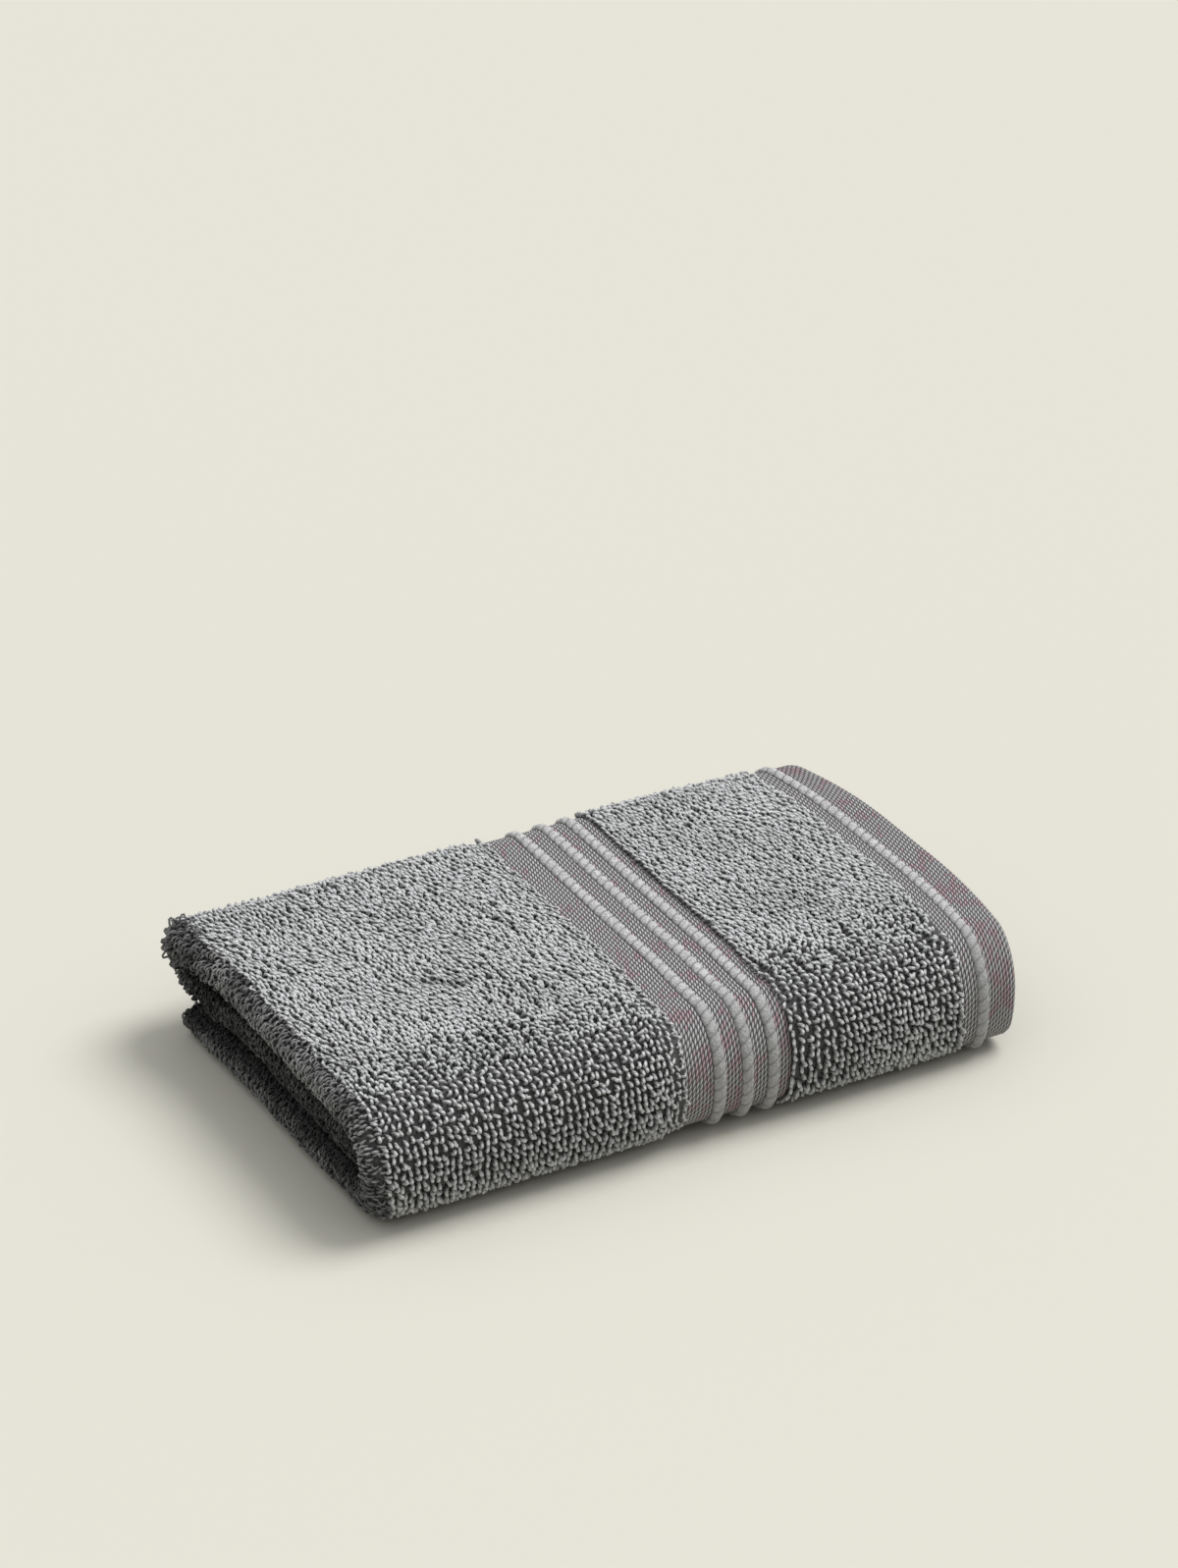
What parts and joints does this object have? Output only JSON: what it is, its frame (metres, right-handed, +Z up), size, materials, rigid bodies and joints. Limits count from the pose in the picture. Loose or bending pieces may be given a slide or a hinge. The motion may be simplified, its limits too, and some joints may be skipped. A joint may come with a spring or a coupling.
{
  "type": "folded washcloth",
  "caption": "Small terry cloth folded to a flat oblong stack of layers, with a ribbed woven border across it and a flat woven hem at one end.",
  "frame": {"origin": "centre of the bounding box at the underside, on the surface that the cloth lies on", "axes": "+X along the folded length, from the folded end to the hems; +Y from the front bend to the back bend; +Z up"},
  "size_m": [0.173, 0.109, 0.03],
  "materials": {
    "terry": "matt cotton terry in mid grey, with flat woven borders in the same grey flecked with dusty pink"
  },
  "bodies": {
    "root": {"cloth": "terry"}
  },
  "joints": []
}
